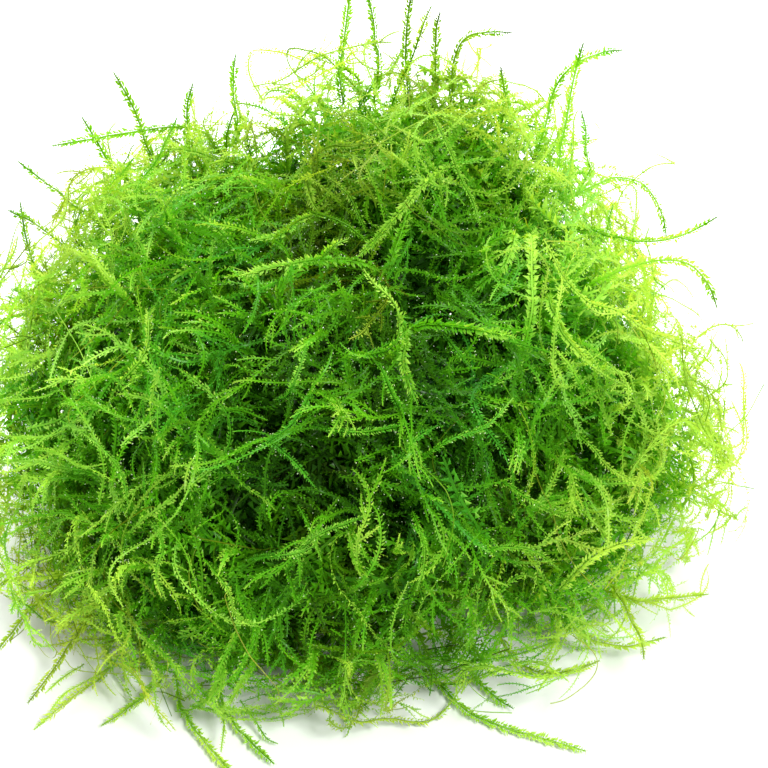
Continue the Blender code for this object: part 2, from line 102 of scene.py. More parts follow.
# Leaves get smaller over these lengths at a shoot's tip and root. Those at the root are this share of full
# size, and none is under the smallest share. The tip's own shade comes in between these shares of the shoot.
TIP_TAPER = 2.5
TIP_ROUNDING = 0.6
ROOT_TAPER = 2.0
ROOT_LEAF = 0.5
SMALLEST_LEAF = 0.3
TIP_AT = (0.8, 1.0)

# How finely a shoot is made: the distance between pairs of leaves, the corners of its stem, the points of a
# leaf besides its foot, how many pairs have a third leaf, how large the leaves are, how thick the stem is,
# and how many pairs have a painted highlight, a speck of light.
GLINTS = 0.08
Detail = namedtuple("Detail", "pitch stem_corners leaf_points third size stem glints")
BUSHY = Detail(0.36, 3, 3, 1.0, 0.9, 1.2, GLINTS)
FINE = Detail(0.5, 3, 3, 0.6, 1.0, 1.2, GLINTS)
PLAIN = Detail(0.5, 2, 3, 0.4, 1.0, 1.2, GLINTS)
LIGHT = Detail(0.55, 2, 2, 0.6, 1.05, 1.2, GLINTS)
COARSE = Detail(1.2, 2, 2, 1.0, 2.0, 2.0, 0.0)

# The layers of the tangle. Each has bundles of strands that run at a depth, measured outwards from the
# tangle's smoothed surface. A strand arches out in its middle, rises at its tip and is sunk at its root.
# Some strands have branches, and some are bare of leaves.
Layer = namedtuple(
    "Layer",
    "name detail bundles strands length depth arch rise sink size branched branch_length bare shade",
)
LAYERS = (
    Layer(
        name="deep", detail=COARSE, bundles=740, strands=2, length=(18, 40), depth=(-14, -4),
        arch=(0, 0), rise=(0, 0), sink=0, size=(0.8, 1.0),
        branched=0.3, branch_length=(4, 8), bare=0.0, shade=0.0,
    ),
    Layer(
        name="middle", detail=LIGHT, bundles=530, strands=2, length=(12, 32), depth=(-4, 0),
        arch=(0, 1.5), rise=(0, 1), sink=3, size=(0.5, 0.95),
        branched=0.3, branch_length=(3, 7), bare=0.05, shade=0.0,
    ),
    Layer(
        name="outer", detail=PLAIN, bundles=460, strands=2, length=(12, 36), depth=(-0.5, 2.2),
        arch=(0, 2.5), rise=(0, 1.5), sink=3, size=(0.45, 0.85),
        branched=0.3, branch_length=(2.5, 6), bare=0.08, shade=0.0,
    ),
    Layer(
        name="loose", detail=FINE, bundles=130, strands=1, length=(12, 32), depth=(1.5, 3.2),
        arch=(0, 3), rise=(0, 3), sink=4, size=(0.5, 0.9),
        branched=0.5, branch_length=(2.5, 5), bare=0.12, shade=0.05,
    ),
)

# How one shoot looks: the size of its leaves, how much brighter and more olive it is than others, how much
# brighter its tip is, the angle of its leaves in degrees, and whether it is bare of them.
Look = namedtuple("Look", "size shade hue tip angle bare")

# Kinds of strands that can be told apart in the photo.
FROND = Look(1.15, 0.18, -0.06, 0.06, 60, False)
SMALL = Look(0.7, 0.0, -0.06, 0.04, 62, False)
FUZZY = Look(0.75, 0.0, -0.16, 0.0, 72, False)
DARK_STEM = Look(0.3, -0.3, 0.3, 0.0, 60, True)
BROWN_STEM = Look(0.3, -0.1, 0.55, 0.0, 60, True)
GREEN_STEM = Look(0.6, 0.1, 0.1, 0.0, 60, True)

# Strands that the photo shows and that aren't solids of their own: the kind, how far each one lies outside
# the tangle, and its places in pixels of the photo from the top left, the root first.
SEEN_STRANDS = (
    (FROND, 4.0, ((449, 165), (419, 189), (400, 212), (380, 235), (358, 257))),
    (SMALL, 4.0, ((425, 100), (449, 147), (460, 176), (473, 201), (480, 226))),
    (SMALL, 3.5, ((318, 168), (347, 193), (357, 211), (366, 232))),
    (SMALL, 3.5, ((308, 211), (341, 222), (357, 233), (374, 250))),
    (FROND, 4.0, ((318, 262), (334, 246), (349, 239))),
    (FROND, 4.0, ((312, 215), (297, 221), (280, 235), (250, 241))),
    (FROND, 4.0, ((330, 258), (300, 262), (270, 268), (240, 276))),
    (SMALL, 3.0, ((440, 108), (449, 98), (462, 93), (500, 93))),
    (SMALL, 3.0, ((512, 112), (507, 98), (500, 72))),
    (FROND, 3.5, ((399, 312), (406, 338), (403, 362), (409, 383), (418, 405))),
    (FUZZY, 4.5, ((404, 418), (391, 390), (380, 364))),
    (FUZZY, 4.0, ((276, 400), (288, 394), (300, 367), (306, 346))),
    (FUZZY, 4.5, ((314, 388), (293, 422), (276, 436), (254, 451))),
    (FUZZY, 4.5, ((268, 438), (279, 449), (295, 463), (315, 487))),
    (SMALL, 4.0, ((412, 464), (452, 439), (485, 427), (513, 398))),
    (FUZZY, 4.0, ((392, 470), (413, 442), (438, 425))),
    (FUZZY, 3.5, ((310, 426), (340, 431), (370, 431), (415, 423))),
    (SMALL, 3.5, ((444, 334), (458, 352), (474, 372))),
    (GREEN_STEM, 2.0, ((650, 356), (660, 380), (665, 400), (656, 420))),
    (DARK_STEM, 2.0, ((604, 284), (626, 310), (643, 334), (652, 354), (657, 372))),
    (DARK_STEM, 2.0, ((598, 306), (613, 318), (618, 331), (615, 349))),
    (GREEN_STEM, 2.0, ((706, 420), (714, 444), (711, 468), (699, 487))),
    (SMALL, 4.0, ((500, 480), (532, 501), (555, 512), (580, 516))),
    (FUZZY, 5.0, ((286, 572), (302, 548), (321, 533), (347, 523), (372, 514))),
    (FUZZY, 4.5, ((252, 558), (275, 556), (300, 552), (318, 545))),
    (SMALL, 4.5, ((298, 505), (310, 528), (322, 561))),
    (SMALL, 4.0, ((284, 566), (292, 585), (297, 601), (306, 584))),
    (SMALL, 4.5, ((413, 512), (424, 545), (423, 569), (417, 590))),
    (FUZZY, 4.0, ((150, 520), (163, 545), (156, 575), (166, 600))),
    (SMALL, 4.0, ((205, 560), (228, 590), (236, 615), (262, 628))),
    (SMALL, 4.0, ((60, 420), (92, 440), (120, 470), (128, 505))),
    (SMALL, 4.0, ((560, 420), (590, 445), (612, 470), (650, 490))),
    (FROND, 4.0, ((560, 590), (590, 560), (620, 545), (655, 538))),
    (SMALL, 4.0, ((470, 560), (500, 548), (535, 552), (560, 570))),
    (DARK_STEM, 1.5, ((318, 684), (340, 683), (362, 679), (390, 668))),
    (DARK_STEM, 1.5, ((366, 686), (403, 680), (436, 674), (460, 666), (512, 648))),
    (SMALL, 1.5, ((400, 672), (436, 657), (468, 661), (511, 656), (560, 640))),
    (DARK_STEM, 1.5, ((422, 650), (460, 644), (487, 635))),
    (GREEN_STEM, 1.0, ((434, 672), (444, 693), (460, 705), (476, 711), (512, 713))),
    (GREEN_STEM, 1.0, ((460, 662), (470, 685), (488, 700), (508, 706))),
    (SMALL, 1.0, ((345, 688), (354, 696), (369, 709))),
    (SMALL, 1.0, ((318, 690), (324, 702), (333, 716))),
    (SMALL, 1.0, ((240, 700), (256, 722), (266, 737), (278, 745))),
    (SMALL, 1.0, ((222, 700), (224, 722), (221, 752))),
    (GREEN_STEM, 1.5, ((50, 606), (24, 589), (4, 578))),
    (DARK_STEM, 1.5, ((49, 580), (33, 571), (6, 556))),
    (DARK_STEM, 1.5, ((33, 533), (39, 556), (54, 580), (65, 597), (78, 636))),
    (GREEN_STEM, 1.5, ((54, 585), (51, 618), (52, 643), (65, 659), (78, 670), (124, 674), (188, 679))),
    (SMALL, 1.0, ((84, 664), (70, 672), (57, 682), (45, 693))),
    (SMALL, 1.0, ((110, 668), (82, 683), (65, 693), (50, 711))),
    (SMALL, 1.0, ((190, 706), (229, 712), (262, 714))),
    (BROWN_STEM, 1.0, ((195, 686), (215, 685), (240, 682))),
    (DARK_STEM, 1.0, ((185, 701), (162, 692), (143, 693))),
    (SMALL, 1.0, ((162, 680), (146, 695), (133, 709))),
    (DARK_STEM, 1.0, ((158, 682), (163, 694), (172, 716))),
    (BROWN_STEM, 1.0, ((40, 560), (34, 590), (28, 623), (10, 641))),
    (GREEN_STEM, 3.5, ((52, 304), (78, 347), (91, 377), (96, 390))),
    (DARK_STEM, 2.0, ((62, 322), (29, 338), (4, 348))),
    (DARK_STEM, 2.0, ((26, 362), (29, 338), (34, 312))),
    (DARK_STEM, 2.0, ((58, 356), (44, 343), (24, 336), (6, 339))),
)

# The tangle is measured on a grid of this pitch, which is then smoothed so that it has no tufts. A point is
# read no further than PAST_LAST less than the grid's count, so that there is a next grid point.
GRID_PITCH = 2.0
GRID_MARGIN = 8.0
GRID_SMOOTHING = 2
PAST_LAST = 1.001
RAY_STEP = 0.01

# The name of the map that holds each leaf's shade (across) and hue (up).
TINT_MAP = "OFBake"

# How much the wavelengths of a smooth random field differ.
WAVE_SHARES = (0.6, 1.4)


def unit(vectors):
    """The same directions, one long."""
    return vectors / np.maximum(np.linalg.norm(vectors, axis=-1, keepdims=True), TINY)


def dot(one, other):
    return (one * other).sum(-1, keepdims=True)


def smooth_step(value, low, high):
    t = np.clip((value - low) / (high - low), 0, 1)
    return t * t * (3 - 2 * t)


def waves(seed, wavelength, count=7):
    """A smooth random field: a function that gives a value of about -1 to 1 at each point."""
    draw = np.random.default_rng(seed)
    ways = unit(draw.normal(size=(count, 3))) * (math.tau / wavelength)
    ways *= draw.uniform(*WAVE_SHARES, (count, 1))
    phases = draw.uniform(0, math.tau, count)
    return lambda points: np.sin(points @ ways.T + phases).sum(axis=-1) / math.sqrt(count)


def heights_crossed(tree, foot):
    """Every height at which the upright line through this point goes through the surface."""
    found = []
    place = tree.ray_cast(foot, (0, 0, 1))[0]
    while place is not None:
        found.append(place.z)
        place = tree.ray_cast((foot.x, foot.y, place.z + RAY_STEP), (0, 0, 1))[0]
    return found


def smoothed_along(values, axis):
    """The grid's values, each one half itself and half its two neighbours along an axis."""
    ends = [(1, 1) if k == axis else (0, 0) for k in range(3)]
    wide = np.moveaxis(np.pad(values, ends, mode="edge"), axis, 0)
    return np.moveaxis((wide[:-2] + 2 * wide[1:-1] + wide[2:]) / 4, 0, axis)


class Tangle:
    """How far points are outside the tangle's surface in millimetres, and which way is outwards there."""

    def __init__(self, node):
        mesh = node.data
        corners = [v.co / MM for v in mesh.vertices]
        tree = BVHTree.FromPolygons(corners, [p.vertices for p in mesh.polygons])
        low, high = (np.array(corner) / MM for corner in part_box(node.name))
        self.low = low - GRID_MARGIN
        count = np.ceil((high + GRID_MARGIN - self.low) / GRID_PITCH).astype(int) + 1
        self.values = np.empty(count)
        heights = self.low[2] + np.arange(count[2]) * GRID_PITCH
        for i, j in np.ndindex(*count[:2]):
            foot = Vector((*(self.low[:2] + (i * GRID_PITCH, j * GRID_PITCH)), self.low[2]))
            crossings = heights_crossed(tree, foot)
            for k, height in enumerate(heights):
                distance = tree.find_nearest((foot.x, foot.y, height))[3]
                inside = sum(crossing < height for crossing in crossings) % 2
                self.values[i, j, k] = -distance if inside else distance
        for _ in range(GRID_SMOOTHING):
            for axis in range(3):
                self.values = smoothed_along(self.values, axis)
        self.slopes = np.stack(np.gradient(self.values, GRID_PITCH), -1)

    def read(self, grid, points):
        """The grid's value at each point, between its eight nearest grid points."""
        at = np.clip((points - self.low) / GRID_PITCH, 0, np.array(self.values.shape) - PAST_LAST)
        cell = at.astype(int)
        share = at - cell
        total = 0
        for corner in np.ndindex(2, 2, 2):
            x, y, z = (cell + corner).reshape(-1, 3).T
            weight = np.where(corner, share, 1 - share).prod(-1)
            value = grid[x, y, z].reshape(points.shape[:-1] + grid.shape[3:])
            total = total + value * (weight if grid.ndim == 3 else weight[..., None])
        return total

    def outside(self, points):
        return self.read(self.values, points)

    def outwards(self, points):
        return unit(self.read(self.slopes, points))


# Growing strands

# Strands stay inside the CAD box and above the floor by about the reach of a leaf.
FLOOR_CLEARANCE = 0.9
BOX_CLEARANCE = 0.8
LOWEST = np.array(CAD_BOX[0]) / MM + (BOX_CLEARANCE, BOX_CLEARANCE, FLOOR_CLEARANCE)
HIGHEST = np.array(CAD_BOX[1]) / MM - BOX_CLEARANCE

# Each root is the one of ROOT_CHOICES places that is furthest from the roots before it. ROOT_POOL places for
# each bundle are drawn at a time, and one is kept where outwards points up by more than a random value in
# this range, so that few are on the underside.
ROOT_CHOICES = 8
ROOT_POOL = 40
UNDERSIDE = (-1.6, 0.0)

# How the strands of a bundle differ at their roots: in depth, in place, in the way they set out as a bundle
# and each on its own, and in length. They set out nearly along the surface.
DEPTH_STRAY = 0.4
ROOT_STRAY = 1.3
BUNDLE_SWING = 0.6
STRAND_SWING = 0.15
FLATTENING = 0.7
STRAND_LENGTHS = (0.75, 1.0)
FEWEST_STEPS = 4

# The strands follow a flow down the tangle's side, which is level and steadier near the floor.
FLOW_TURN = waves(21, 30)
FLOW_SPREAD = 1.5
FOLLOW_FLOW = 0.05
LEVEL_BELOW = (4.0, 14.0)
LEVEL_CALM = 0.7

# At each step a strand turns back towards its depth, which differs in hollows, bends at random and droops.
KEEP_DEPTH = 0.22
DEPTH_REACH = 2.5
STEEPEST = 0.7
BEND = 0.075
BEND_MEMORY = 0.95
OWN_BEND = 0.5
DROOP = 0.01
HOLLOWS = waves(23, 15)
HOLLOW_DEPTH = 1.3

# The shares of a strand's length over which its root comes out of the tangle and its tip rises.
ROOT_PART = (0, 0.3)
TIP_PART = (0.65, 1)


def flow(points, outwards):
    """The way that shoots lie at each point of the tangle's side, turned by a smooth random angle.

    Near the floor they lie level along the clump's edge, and higher up they hang down it."""
    down = unit(outwards * outwards[..., 2:] - (0, 0, 1))
    across = np.cross(outwards, down)
    level = 1 - smooth_step(points[..., 2], *LEVEL_BELOW)
    turn = FLOW_TURN(points) * FLOW_SPREAD * (1 - LEVEL_CALM * level) + level * math.pi / 2
    turn = turn[..., None]
    return down * np.cos(turn) + across * np.sin(turn)


def roots_in(tangle, draw, layer):
    """Random points in a layer, one for each bundle, evenly spread, with few on the underside."""
    low, high = layer.depth[0] - layer.sink, layer.depth[1]
    pool = np.empty((0, 3))
    while len(pool) < layer.bundles * ROOT_CHOICES:
        places = draw.uniform(LOWEST, HIGHEST, (layer.bundles * ROOT_POOL, 3))
        away = tangle.outside(places)
        seen = tangle.outwards(places)[:, 2] > draw.uniform(*UNDERSIDE, len(places))
        pool = np.vstack([pool, places[(away > low) & (away < high) & seen]])
    choices = pool[: layer.bundles * ROOT_CHOICES].reshape(layer.bundles, ROOT_CHOICES, 3)
    found = choices[:1, 0]
    for group in choices[1:]:
        room = np.linalg.norm(group[:, None] - found, axis=-1).min(axis=1)
        found = np.vstack([found, group[np.argmax(room)]])
    return found


def grown(tangle, draw, layer):
    """The lines of a layer's strands, grown together one step at a time."""
    count = layer.bundles * layer.strands
    step = layer.detail.pitch
    bundle = np.repeat(np.arange(layer.bundles), layer.strands)
    depth = draw.uniform(*layer.depth, layer.bundles)[bundle] + draw.normal(size=count) * DEPTH_STRAY
    points = roots_in(tangle, draw, layer)[bundle] + draw.normal(size=(count, 3)) * ROOT_STRAY
    out = tangle.outwards(points)
    sense = draw.choice((-1.0, 1.0), (layer.bundles, 1))[bundle]
    headings = flow(points, out) * sense + (draw.normal(size=(layer.bundles, 3)) * BUNDLE_SWING)[bundle]
    headings = headings - out * dot(headings, out) * FLATTENING
    headings = unit(headings + draw.normal(size=points.shape) * STRAND_SWING)
    lengths = draw.uniform(*layer.length, layer.bundles)[bundle] * draw.uniform(*STRAND_LENGTHS, count)
    steps = np.maximum(np.round(lengths / step).astype(int), FEWEST_STEPS)
    arch = draw.uniform(*layer.arch, count)
    rise = draw.uniform(*layer.rise, count)
    bend = draw.normal(size=(layer.bundles, 3))
    stray = draw.normal(size=points.shape)
    fresh = math.sqrt(1 - BEND_MEMORY**2)
    points = np.clip(points, LOWEST, HIGHEST)
    trail = [points]
    for k in range(steps.max()):
        share = np.clip(k / steps, 0, 1)
        wanted = depth + HOLLOWS(points) * HOLLOW_DEPTH + arch * np.sin(math.pi * share)
        sunk = layer.sink * (1 - smooth_step(share, *ROOT_PART))
        wanted += rise * smooth_step(share, *TIP_PART) - sunk
        out = tangle.outwards(points)
        off = np.clip((wanted - tangle.outside(points)) / DEPTH_REACH, -1, 1)[:, None] * STEEPEST
        bend = bend * BEND_MEMORY + draw.normal(size=bend.shape) * fresh
        stray = stray * BEND_MEMORY + draw.normal(size=stray.shape) * fresh
        turn = out * (off - dot(headings, out)) * KEEP_DEPTH
        turn += (flow(points, out) * sense - headings) * FOLLOW_FLOW
        turn += bend[bundle] * BEND + stray * BEND * OWN_BEND - (0, 0, DROOP)
        headings = unit(headings + turn)
        points = np.clip(points + headings * step, LOWEST, HIGHEST)
        trail.append(points)
    trail = np.stack(trail, 1)
    return [line[: count + 1] for line, count in zip(trail, steps)]


# Tints

# Painted shade: leaves get darker from the outermost to the deepest, where shade falls, and differ in
# patches.
DEEPEST, OUTERMOST = -8.0, 2.0
BASE_SHADE = 0.24
LIT_SHADE = 0.19
PATCH_SHADE = 0.07
SHADE_NOISE = waves(31, 11)
MIDDLE_HUE = 0.42
PATCH_HUE = 0.12
HUE_NOISE = waves(32, 34)

# Painted light: shoots towards the rim of the clump are painted paler, as if lit from behind: how far they
# are from this point inside it. Deep ones there are paler by this share of what the outermost are.
HEART = np.array((0.0, -3.0, 16.0))
RIM = (34.0, 54.0)
RIM_PAINTED_LIGHT = 0.36
RIM_HUE = 0.06
DEEP_RIM = 0.4

# The shoots at the right and those near the floor get more light.
RIGHT_FROM = (16.0, 36.0)
RIGHT_SHADE = 0.17
LOW_BELOW = (3.0, 14.0)
LOW_SHADE = 0.17

# Painted shade: the shoots around this place in the middle of the front are painted darker.
SHADED_PLACE = np.array((4.0, -18.0, 36.0))
SHADED_WITHIN = (10.0, 34.0)
PAINTED_SHADE = 0.2

# How each leaf strays in shade and hue, and how many leaves are painted paler as highlights, by how much.
LEAF_STRAY = (0.07, 0.03)
HIGHLIGHT_LEAVES = 0.1
LEAF_HIGHLIGHT = 0.25

# How the stem's shade and hue differ from its leaves'. The corners of stems, leaves and specks differ a
# little among themselves, so that every face has a width on the tint map.
STEM_TINT = (-0.02, 0.06)
STEM_SPREAD = ((0.0, 0.01), (0.0, -0.01), (0.01, 0.0))
LEAF_SPREAD = {
    2: ((0.03, 0.015), (0.12, 0.0)),
    3: ((0.03, 0.015), (0.03, -0.015), (0.12, 0.0)),
}
LOWEST_TINT = 0.01
HIGHEST_TINT = (0.99, 0.92)

# Painted highlights: specks of light on wet leaf tips, as small pale triangles: their size, their place on
# the tint map, which is past the highest hue of a leaf, and the hues between which their own colours set in.
GLINT_SIZE = 0.13
GLINT_TINT = (0.9, 0.985)
GLINT_SPREAD = ((0, 0), (0.03, 0), (0, 0.005))
GLINT_HUES = (0.94, 0.97)


def tints_at(tangle, place, shade, hue):
    """The shade and hue of each station: its shoot's own, and what its place in the clump adds, mostly
    painted light and shade.
    """
    lit = smooth_step(tangle.outside(place), DEEPEST, OUTERMOST)
    rim = smooth_step(np.linalg.norm(place - HEART, axis=1), *RIM) * (DEEP_RIM + (1 - DEEP_RIM) * lit)
    shade = BASE_SHADE + LIT_SHADE * lit + RIM_PAINTED_LIGHT * rim + PATCH_SHADE * SHADE_NOISE(place) + shade
    shade += RIGHT_SHADE * lit * smooth_step(place[:, 0], *RIGHT_FROM)
    shade += LOW_SHADE * lit * (1 - smooth_step(place[:, 2], *LOW_BELOW))
    shade -= PAINTED_SHADE * (1 - smooth_step(np.linalg.norm(place - SHADED_PLACE, axis=1), *SHADED_WITHIN))
    hue = MIDDLE_HUE + RIM_HUE * rim + PATCH_HUE * HUE_NOISE(place) + hue
    return np.stack([shade, hue], -1)


# Leafy shoots

# The faces of a stem between two stations, by how many corners it has: the corners that each band joins.
STEM_BANDS = {2: ((1, 0),), 3: ((0, 2), (2, 1), (1, 0))}

# The faces of a leaf, by how many points it has besides its foot: the two points that each one joins to it.
LEAF_FACES = {2: ((0, 1),), 3: ((0, 2), (2, 1))}


class Shoots:
    """Many leafy shoots, gathered station by station: one pair of leaves to a station."""

    def __init__(self, detail):
        self.detail = detail
        self.places, self.alongs, self.sides, self.flats = [], [], [], []
        self.sizes, self.shades, self.hues, self.angles, self.joined = [], [], [], [], []

    def add(self, line, flats, look):
        """A shoot along a line of points. flats is the way that its flat side looks at each point."""
        along = unit(np.gradient(line, axis=0))
        side = unit(np.cross(along, flats))
        count = len(line)
        run = np.arange(count) * np.linalg.norm(np.diff(line, axis=0), axis=1).mean()
        towards_tip = np.clip((run[-1] - run) / TIP_TAPER, 0, 1) ** TIP_ROUNDING
        ends = towards_tip * np.clip(ROOT_LEAF + run / ROOT_TAPER, 0, 1)
        leafy = np.maximum(ends, SMALLEST_LEAF) * look.size
        self.places.append(line)
        self.alongs.append(along)
        self.sides.append(side)
        self.flats.append(np.cross(side, along))
        self.sizes.append(np.zeros(count) if look.bare else leafy)
        self.shades.append(look.shade + look.tip * smooth_step(run / run[-1], *TIP_AT))
        self.hues.append(np.full(count, look.hue))
        self.angles.append(np.full(count, math.radians(look.angle)))
        self.joined.append(np.arange(count) < count - 1)

    def gathered(self):
        """All stations in one row of values each."""
        stacks = (self.places, self.alongs, self.sides, self.flats)
        rows = (self.sizes, self.shades, self.hues, self.angles, self.joined)
        return [np.vstack(values) for values in stacks] + [np.concatenate(values) for values in rows]

    def mesh_arrays(self, tangle, draw):
        """Points, triangles and the shade and hue of each point.

        Specks of light are only on the leaves of one side."""
        place, along, side, flat, size, shade, hue, angles, joined = self.gathered()
        kind = self.detail
        tint = tints_at(tangle, place, shade, hue)
        stem_points, stem_tints, faces = stem_arrays(kind, place, side, flat, size, tint, joined)
        points, tints, count = [stem_points], [stem_tints], len(stem_points)
        left_and_right = ((0, side, flat, 1.0), (1, -side, flat, 1.0))
        third = (kind.stem_corners - 1, flat, side, kind.third)
        for corner, out, flat_side, share in (*left_and_right, third):
            leafy = np.flatnonzero((draw.random(len(place)) < share) & (size > 0))
            foot = leafy * kind.stem_corners + corner
            frames = stem_points[foot], along[leafy], out[leafy], flat_side[leafy]
            leaves, way, edge = leaf_corners(kind, *frames, size[leafy], angles[leafy], draw)
            points.append(leaves.reshape(-1, 3))
            tints.append(leaf_tints(kind, tint[leafy], draw))
            first = count + np.arange(len(leafy)) * kind.leaf_points
            for one, other in LEAF_FACES[kind.leaf_points]:
                faces.append(np.stack([foot, first + one, first + other], -1))
            count += len(leafy) * kind.leaf_points
            if corner == 0:
                glinting = draw.random(len(leafy)) < kind.glints
                specks = glint_points(leaves[glinting, -1], way[glinting], edge[glinting])
                points.append(specks)
                tints.append(np.tile(np.array(GLINT_SPREAD) + GLINT_TINT, (glinting.sum(), 1)))
                faces.append(count + np.arange(len(specks)).reshape(-1, 3))
                count += len(specks)
        points = np.vstack(points)
        points[:, 2] = np.maximum(points[:, 2], 0)
        return points, np.vstack(faces), np.vstack(tints)


def stem_arrays(kind, place, side, flat, size, tint, joined):
    """The stems: a flat band with two corners at each station, or a closed one with three."""
    share = np.clip(THINNEST_STEM + size * (1 - THINNEST_STEM), THINNEST_STEM, 1)
    thin = STEM_RADIUS * kind.stem * share[:, None]
    ring = [place + side * thin, place - side * thin, place + flat * thin * STEM_RIDGE]
    points = np.stack(ring[: kind.stem_corners], 1).reshape(-1, 3)
    tints = tint[:, None] + STEM_TINT + np.array(STEM_SPREAD[: kind.stem_corners])
    low = np.flatnonzero(joined) * kind.stem_corners
    high = low + kind.stem_corners
    faces = []
    for one, other in STEM_BANDS[kind.stem_corners]:
        faces.append(np.stack([low + one, low + other, high + other], -1))
        faces.append(np.stack([low + one, high + other, high + one], -1))
    return points, np.clip(tints, LOWEST_TINT, HIGHEST_TINT).reshape(-1, 2), faces


def leaf_corners(kind, foot, along, out, flat_side, size, angles, draw):
    """The points of each leaf besides its foot, its tip last, the way that it points and across it."""
    scale = (size * kind.size)[:, None]
    angle = angles[:, None] + draw.normal(size=scale.shape) * ANGLE_STRAY
    lift = draw.normal(size=scale.shape) * LIFT_STRAY
    length = LEAF_LENGTH * scale * draw.uniform(*LEAF_LENGTHS, scale.shape)
    width = LEAF_WIDTH * scale * draw.uniform(*LEAF_WIDTHS, scale.shape)
    way = unit(along * np.cos(angle) + out * np.sin(angle) + flat_side * lift)
    edge = unit(np.cross(way, flat_side))
    back = np.cross(edge, way)
    middle = foot + way * length * WIDEST_AT - back * width * LEAF_FOLD
    tip = foot + unit(way + along * TIP_TURN) * length
    if kind.leaf_points == 3:
        made = (middle + edge * width / 2, middle - edge * width / 2, tip)
    else:
        made = (middle + edge * width, tip)
    return np.stack(made, 1), way, edge


def leaf_tints(kind, tint, draw):
    """The shade and hue of each point of each leaf. Some leaves are painted paler, as highlights."""
    stray = draw.normal(size=(len(tint), 1, 1)) * LEAF_STRAY
    stray[..., 0] += LEAF_HIGHLIGHT * (draw.random(len(tint)) < HIGHLIGHT_LEAVES)[:, None]
    tints = tint[:, None] + np.array(LEAF_SPREAD[kind.leaf_points]) + stray
    return np.clip(tints, LOWEST_TINT, HIGHEST_TINT).reshape(-1, 2)


def glint_points(tips, ways, edges):
    """Small triangles on the tips of leaves, for painted highlights."""
    across, on = edges * GLINT_SIZE, ways * GLINT_SIZE
    return np.stack([tips + across, tips - across, tips + on], 1).reshape(-1, 3)


def new_piece(name, shoots, material, tangle, seed):
    """One joined mesh of leafy shoots, in metres."""
    points, faces, tints = shoots.mesh_arrays(tangle, np.random.default_rng(seed))
    points = points * MM
    mesh = bpy.data.meshes.new(name)
    mesh.vertices.add(len(points))
    mesh.vertices.foreach_set("co", points.astype(np.float32).ravel())
    mesh.loops.add(faces.size)
    mesh.loops.foreach_set("vertex_index", faces.astype(np.int32).ravel())
    mesh.polygons.add(len(faces))
    mesh.polygons.foreach_set("loop_start", np.arange(0, faces.size, 3, dtype=np.int32))
    tint_map = mesh.uv_layers.new(name=TINT_MAP)
    tint_map.data.foreach_set("uv", tints[faces.ravel()].astype(np.float32).ravel())
    mesh.update(calc_edges=True)
    mesh.materials.append(material)
    piece = bpy.data.objects.new(name, mesh)
    bpy.context.scene.collection.objects.link(piece)
    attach(piece, "root")
    print(name, len(faces), "triangles")
    return piece


# Dressing strands

# How a strand's flat side rolls and twists along it, in radians.
ROLL_STRAY = 0.6
TWIST_STRAY = 0.9

# How strands differ in shade and hue, how their tips do, and how much more olive a bare one is.
STRAND_SHADE_STRAY = 0.08
STRAND_HUE_STRAY = 0.1
TIP_SHADES = (-0.1, 0.1, 0.1)
BARE_HUE = 0.35

# Side branches: the stations before the first one and between two, the stations at the strand's tip that
# have none, and how a branch gets shorter towards it, from this share at the tip over this many stations.
FIRST_BRANCH = (3, 7)
BRANCH_GAP = (4, 9)
BRANCHLESS_TIP = 4
BRANCH_SIZE = 0.85
SHORTEST_BRANCH = 3
TIP_BRANCH = 0.5
BRANCH_GROWTH = 20

# How much a branch sets out along and beside its strand and off its plane, and how it bends at each step:
# along the strand, back towards it, at random and down.
BRANCH_WAY = 0.75
BRANCH_LIFT = 0.25
BRANCH_ALONG = 0.06
BRANCH_BACK = 0.02
BRANCH_STRAY = 0.035
BRANCH_DROOP = 0.02


def rolled(line, looks, roll):
    """Flat sides that look the given ways, turned about the line by an angle at each point."""
    along = unit(np.gradient(line, axis=0))
    flats = unit(looks - along * dot(looks, along))
    other = np.cross(along, flats)
    return flats * np.cos(roll)[:, None] + other * np.sin(roll)[:, None]


def branch_lines(line, flats, draw, lengths, step):
    """Side branches of a strand, left and right in turn: the line of each one and its flat sides."""
    along = unit(np.gradient(line, axis=0))
    side = np.cross(along, flats)
    found = []
    hand = draw.choice((-1, 1))
    at = int(draw.integers(*FIRST_BRANCH))
    while at < len(line) - BRANCHLESS_TIP:
        share = min(1, TIP_BRANCH + (len(line) - at) / BRANCH_GROWTH)
        count = max(SHORTEST_BRANCH, round(draw.uniform(*lengths) * share / step))
        heading = along[at] * BRANCH_WAY + side[at] * hand * BRANCH_WAY
        heading = heading + flats[at] * draw.normal() * BRANCH_LIFT
        bend = along[at] * BRANCH_ALONG - side[at] * hand * BRANCH_BACK
        bend = bend + draw.normal(size=3) * BRANCH_STRAY - (0, 0, BRANCH_DROOP)
        points = [line[at]]
        for _ in range(count):
            heading = heading + bend
            heading /= np.linalg.norm(heading)
            points.append(points[-1] + heading * step)
        points = np.clip(np.array(points), LOWEST, HIGHEST)
        found.append((points, np.repeat(flats[at : at + 1], len(points), 0)))
        hand = -hand
        at += int(draw.integers(*BRANCH_GAP))
    return found


def dressed(line, tangle, draw, layer):
    """A strand of a layer and its side branches, as Shoots.add takes them."""
    looks = tangle.outwards(line)
    roll = draw.normal() * ROLL_STRAY + np.linspace(0, draw.normal() * TWIST_STRAY, len(line))
    flats = rolled(line, looks, roll)
    tip = draw.choice(TIP_SHADES)
    shade = layer.shade + draw.normal() * STRAND_SHADE_STRAY
    hue = draw.normal() * STRAND_HUE_STRAY
    size = draw.uniform(*layer.size)
    look = Look(size, shade, hue, tip, draw.uniform(*LEAF_ANGLE), False)
    if draw.random() < layer.bare:
        return [(line, flats, look._replace(hue=hue + BARE_HUE, bare=True))]
    parts = [(line, flats, look)]
    if draw.random() < layer.branched:
        side_look = look._replace(size=look.size * BRANCH_SIZE)
        for points, sides in branch_lines(line, flats, draw, layer.branch_length, layer.detail.pitch):
            parts.append((points, sides, side_look))
    return parts


